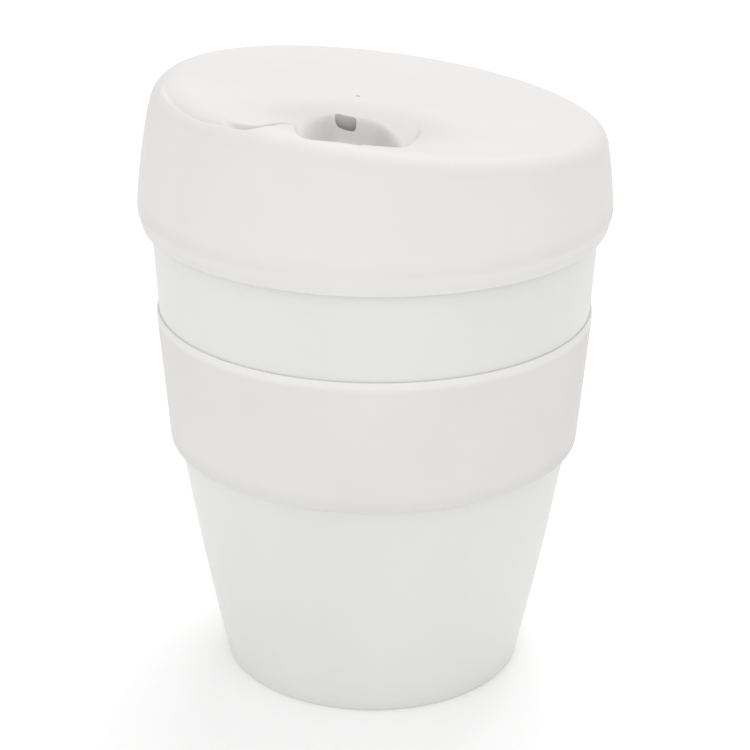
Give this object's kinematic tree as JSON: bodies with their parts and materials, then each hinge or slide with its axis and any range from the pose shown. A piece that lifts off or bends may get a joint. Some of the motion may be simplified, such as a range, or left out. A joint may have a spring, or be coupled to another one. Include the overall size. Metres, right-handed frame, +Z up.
{
  "type": "travel cup",
  "caption": "Rigid tapered reusable travel cup with a soft push-on slanted lid that has a sip pocket, and a removable soft grip band.",
  "frame": {"origin": "centre of the base, on the surface that the cup stands on", "axes": "+Z up along the cup's axis, -X towards the lid's high side, -Y towards the sip pocket"},
  "size_m": [0.0946, 0.0946, 0.1253],
  "materials": {
    "cup_plastic": "satin moulded polypropylene, white",
    "band_silicone": "matte silicone rubber, white",
    "lid_silicone": "matte silicone rubber, white"
  },
  "bodies": {
    "cup": {"cup": "cup_plastic"},
    "grip_band": {"grip_band": "band_silicone"},
    "lid": {"lid": "lid_silicone"}
  },
  "joints": [
    {"name": "lid_lift", "type": "slide", "parent": "cup", "child": "lid", "axis": [0, 0, 1], "range_m": [0, 0.06]},
    {"name": "band_slide", "type": "slide", "parent": "cup", "child": "grip_band", "axis": [0, 0, -1], "range_m": [0, 0.047]}
  ]
}
